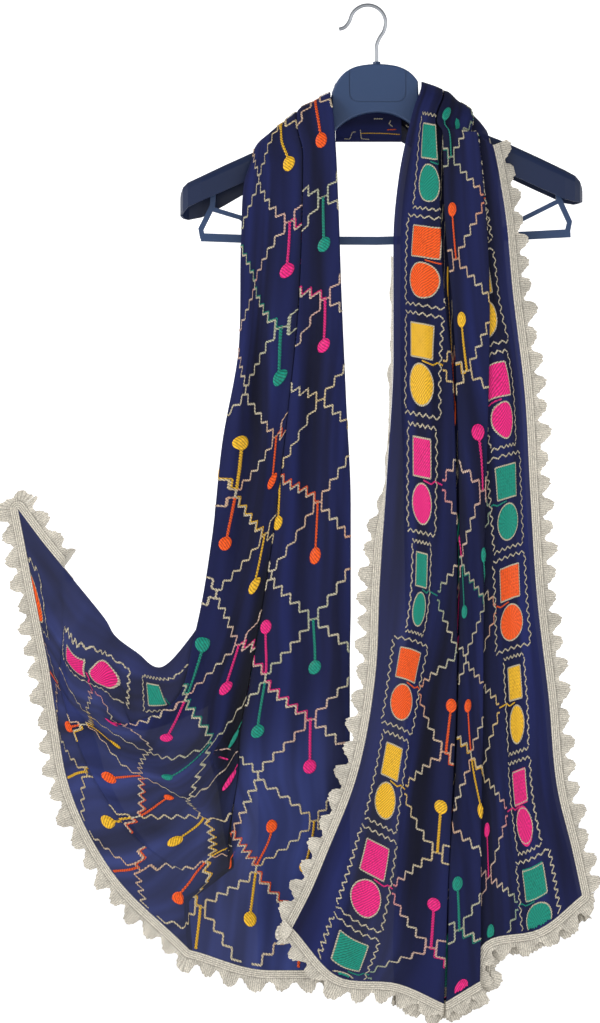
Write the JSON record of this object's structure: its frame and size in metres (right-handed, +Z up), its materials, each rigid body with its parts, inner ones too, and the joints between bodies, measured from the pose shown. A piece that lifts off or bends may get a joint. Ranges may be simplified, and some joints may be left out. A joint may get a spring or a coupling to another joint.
{
  "type": "dupatta on a coat hanger",
  "caption": "Long embroidered lace-edged scarf folded lengthwise over a coat hanger, both ends falling in front, one swept up at its corner.",
  "frame": {"origin": "the inside top of the hook's wire, where a rail holds it", "axes": "+Z up, +X to the viewer's right along the hanger's arms, the front with both falls towards -Y"},
  "size_m": [0.6598, 0.0725, 1.1328],
  "materials": {
    "cloth": "navy georgette with chain-stitch embroidery",
    "lace": "cream ribbed lace with a scalloped fringe",
    "steel": "polished wire",
    "plastic": "slate-navy moulding with a soft sheen"
  },
  "bodies": {
    "root": {"left_fall": "cloth", "neck_stretch": "cloth", "right_fall": "cloth", "left_hem_lace": "lace", "left_outer_lace": "lace", "right_hem_lace": "lace", "right_outer_lace": "lace", "right_inner_lace": "lace", "hook": "steel", "hanger_head": "plastic", "left_arm": "plastic", "right_arm": "plastic", "trouser_bar": "plastic"}
  },
  "joints": []
}
